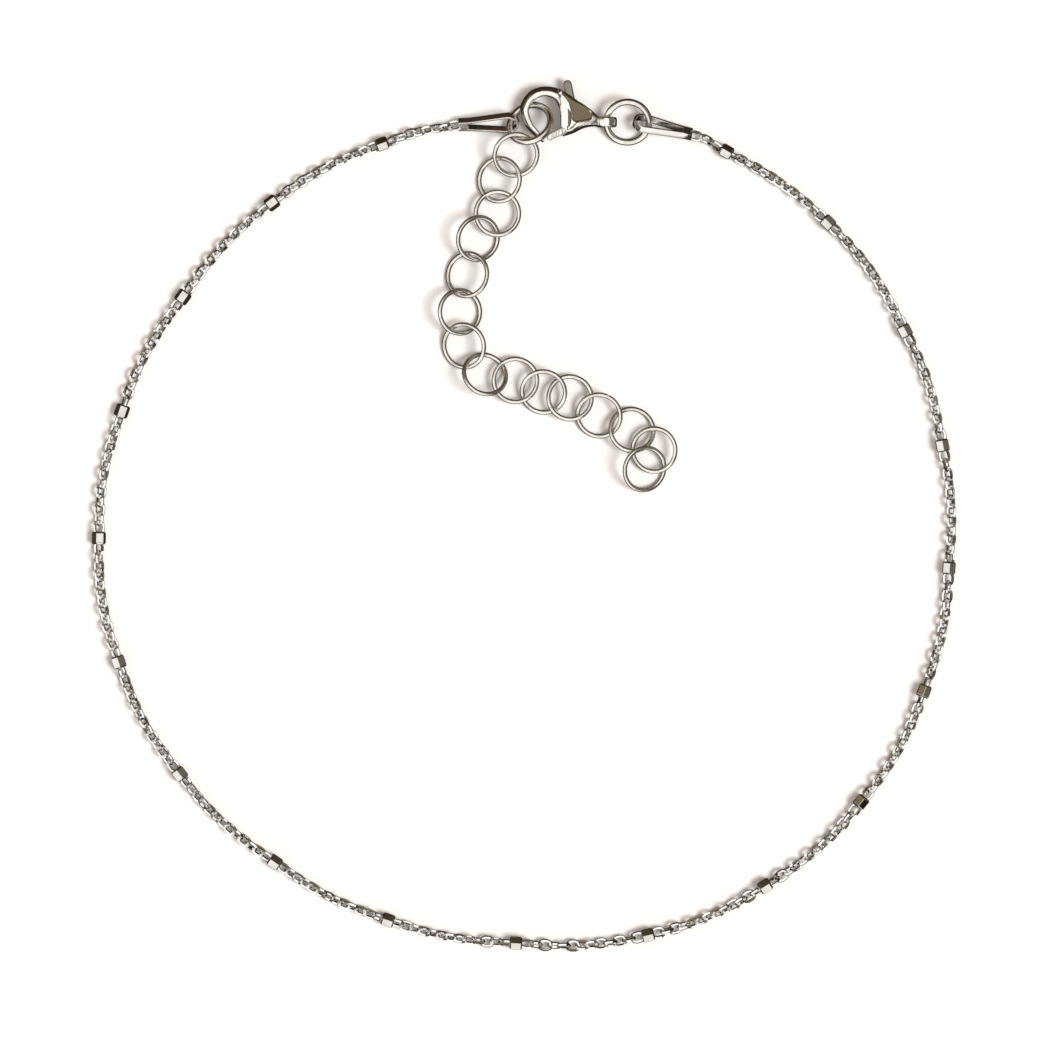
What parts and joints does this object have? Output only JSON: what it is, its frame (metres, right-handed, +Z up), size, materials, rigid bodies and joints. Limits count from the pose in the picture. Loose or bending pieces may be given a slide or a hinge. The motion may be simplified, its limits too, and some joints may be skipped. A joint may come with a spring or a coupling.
{
  "type": "chain anklet",
  "caption": "Fastened chain anklet of fine cable chain with hexagonal beads, folded end tabs, a lobster clasp with a sprung lever and a free extension chain of rings.",
  "frame": {"origin": "on the surface that it lies on, under the middle of the loop", "axes": "+Z up from that surface, +Y towards the clasp, +X from the clasp's hook to its eye"},
  "size_m": [0.0816, 0.0822, 0.0028],
  "materials": {
    "chain_silver": "polished, faceted links",
    "bead_silver": "polished cut facets",
    "ring_silver": "polished round wire",
    "tab_silver": "polished strip",
    "clasp_silver": "polished casting"
  },
  "bodies": {
    "anklet": {"chain_01": "chain_silver", "chain_02": "chain_silver", "chain_03": "chain_silver", "chain_04": "chain_silver", "chain_05": "chain_silver", "chain_06": "chain_silver", "chain_07": "chain_silver", "chain_08": "chain_silver", "chain_09": "chain_silver", "chain_10": "chain_silver", "chain_11": "chain_silver", "chain_12": "chain_silver", "chain_13": "chain_silver", "chain_14": "chain_silver", "chain_15": "chain_silver", "chain_16": "chain_silver", "chain_17": "chain_silver", "chain_18": "chain_silver", "chain_19": "chain_silver", "chain_20": "chain_silver", "bead_01": "bead_silver", "bead_02": "bead_silver", "bead_03": "bead_silver", "bead_04": "bead_silver", "bead_05": "bead_silver", "bead_06": "bead_silver", "bead_07": "bead_silver", "bead_08": "bead_silver", "bead_09": "bead_silver", "bead_10": "bead_silver", "bead_11": "bead_silver", "bead_12": "bead_silver", "bead_13": "bead_silver", "bead_14": "bead_silver", "bead_15": "bead_silver", "bead_16": "bead_silver", "bead_17": "bead_silver", "bead_18": "bead_silver", "bead_19": "bead_silver", "extension_ring_01": "ring_silver", "extension_ring_02": "ring_silver", "extension_ring_03": "ring_silver", "extension_ring_04": "ring_silver", "extension_ring_05": "ring_silver", "extension_ring_06": "ring_silver", "extension_ring_07": "ring_silver", "extension_ring_08": "ring_silver", "extension_ring_09": "ring_silver", "extension_ring_10": "ring_silver", "extension_ring_11": "ring_silver", "extension_ring_12": "ring_silver", "extension_ring_13": "ring_silver", "extension_ring_14": "ring_silver", "extension_ring_15": "ring_silver", "end_tab_right": "tab_silver", "end_tab_left": "tab_silver", "jump_ring_clasp": "ring_silver", "jump_ring_end": "ring_silver", "clasp_body": "clasp_silver"},
    "lever": {"clasp_lever": "clasp_silver"}
  },
  "joints": [
    {"name": "lever_hinge", "type": "hinge", "parent": "anklet", "child": "lever", "pos_m": [0.00466, 0.03809, 0.00113], "axis": [0, 0, -1], "range_deg": [0, 22], "stiffness_Nm_per_rad": 0.002, "springref_deg": -11.46}
  ]
}
